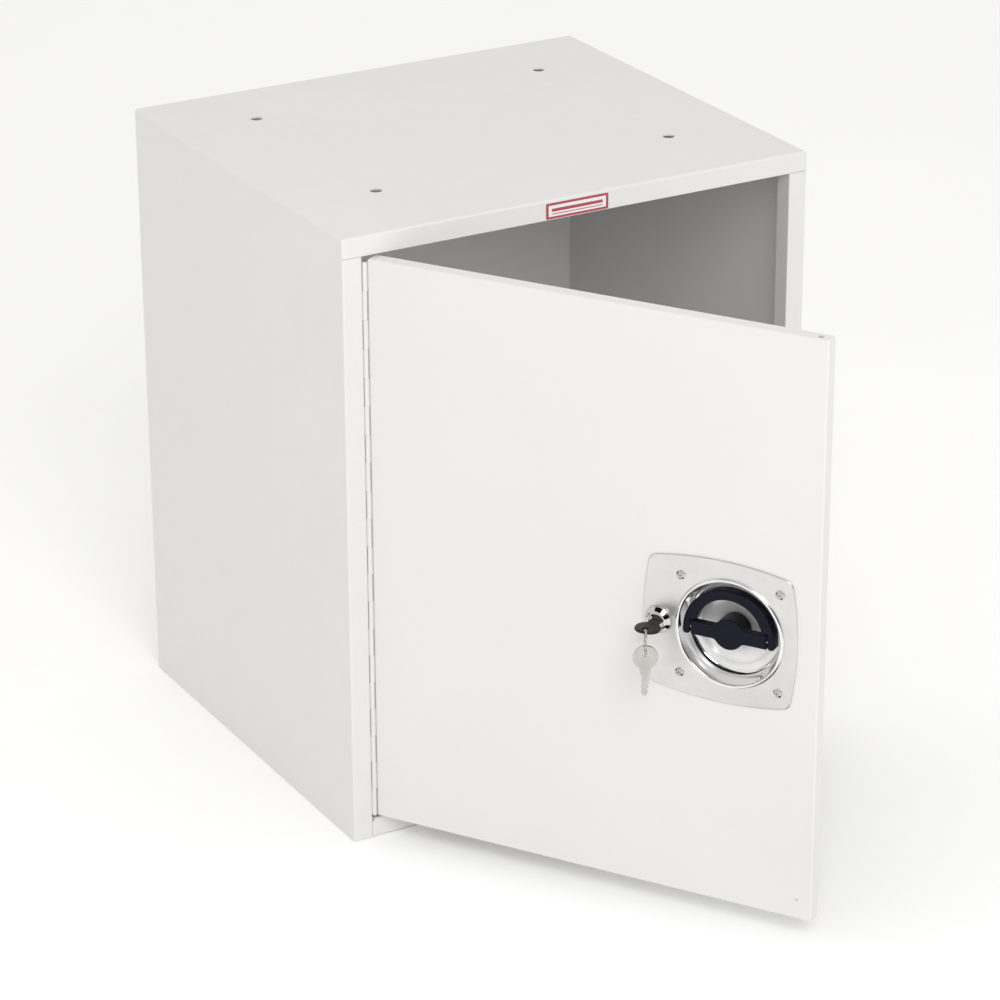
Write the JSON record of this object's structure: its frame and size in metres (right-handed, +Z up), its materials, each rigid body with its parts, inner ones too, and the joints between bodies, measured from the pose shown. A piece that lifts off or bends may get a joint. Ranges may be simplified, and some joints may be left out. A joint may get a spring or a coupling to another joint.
{
  "type": "locker cabinet",
  "caption": "Wall- or shelf-mounted steel locker cabinet with a hinged door, recessed turning ring handle, latch cam and key lock.",
  "frame": {"origin": "centre of the cabinet's underside", "axes": "+Z up, -Y out of the front, hinge at -X"},
  "size_m": [0.4572, 0.7541, 0.5588],
  "materials": {
    "cabinet_paint": "white powder coat, fine texture, satin",
    "door_paint": "white powder coat, fine texture, satin",
    "hinge_paint": "white powder coat over the hinge",
    "hinge_pin_steel": "drawn steel",
    "label": "blank white label with a dark red border",
    "rubber": "matte black rubber",
    "brushed_plate": "brushed stainless steel",
    "polished_dish": "mirror polished stainless steel",
    "polished_lock": "polished nickel plate",
    "polished_fixings": "polished stainless steel",
    "zinc_fixings": "zinc plated",
    "zinc_cam": "zinc plated stamping",
    "handle_coating": "satin black-blue coating on a casting",
    "key_plastic": "dark brown-black moulded plastic",
    "ring_wire": "nickel plated spring wire",
    "key_nickel": "nickel silver, tumbled"
  },
  "bodies": {
    "carcass": {"shell_wrapper": "cabinet_paint", "base_pan": "cabinet_paint", "back_panel": "cabinet_paint", "label_plate": "label", "hinge_leaf_frame": "hinge_paint", "hinge_pin": "hinge_pin_steel", "strike_bracket": "cabinet_paint", "strike_pad": "rubber"},
    "door": {"door_pan": "door_paint", "hinge_leaf_door": "hinge_paint", "handle_plate": "brushed_plate", "handle_dish": "polished_dish", "plate_screws": "polished_fixings", "plate_nuts": "zinc_fixings", "spindle_bush": "zinc_fixings", "lock_body": "polished_lock", "lock_nut": "zinc_fixings"},
    "handle": {"handle_bar": "handle_coating", "handle_spindle": "zinc_fixings", "latch_cam": "zinc_cam", "cam_washer": "zinc_fixings", "cam_nut": "zinc_fixings"},
    "pull_ring": {"handle_ring": "handle_coating", "ring_pins": "polished_fixings"},
    "lock": {"lock_plug": "polished_lock", "lock_cam": "zinc_cam", "lock_cam_screw": "zinc_fixings"},
    "key": {"key_blade": "key_nickel", "key_bow": "key_plastic"},
    "split_ring": {"key_ring": "ring_wire"},
    "spare": {"spare_key": "key_nickel"}
  },
  "joints": [
    {"name": "door_swing", "type": "hinge", "parent": "carcass", "child": "door", "pos_m": [-0.20845, -0.2038, 0.2794], "axis": [0, 0, -1], "range_deg": [-57.1, 117.9]},
    {"name": "handle_turn", "type": "hinge", "parent": "door", "child": "handle", "pos_m": [-0.01362, -0.47735, 0.2702], "axis": [0.8396, 0.5432, 0], "range_deg": [0, 90]},
    {"name": "ring_fold", "type": "hinge", "parent": "handle", "child": "pull_ring", "pos_m": [-0.0268, -0.48587, 0.2702], "axis": [0.5432, -0.8396, 0], "range_deg": [0, 90]},
    {"name": "key_turn", "type": "hinge", "parent": "door", "child": "lock", "pos_m": [-0.05651, -0.42946, 0.2703], "axis": [0.8396, 0.5432, 0], "range_deg": [0, 90]},
    {"name": "key_pull", "type": "slide", "parent": "lock", "child": "key", "axis": [-0.8396, -0.5432, 0], "range_m": [0, 0.03]},
    {"name": "split_ring_swivel", "type": "hinge", "parent": "key", "child": "split_ring", "pos_m": [-0.08271, -0.44641, 0.2703], "axis": [0, 0, 1], "range_deg": [-28, 0]},
    {"name": "spare_key_hang", "type": "hinge", "parent": "split_ring", "child": "spare", "pos_m": [-0.08621, -0.4527, 0.25255], "axis": [0.4863, 0.8738, 0], "range_deg": [-90, 0]}
  ],
  "couplings": [
    {"joint": "spare_key_hang", "follows": "key_turn", "ratio": -1},
    {"joint": "split_ring_swivel", "follows": "key_turn", "ratio": -0.31111}
  ]
}
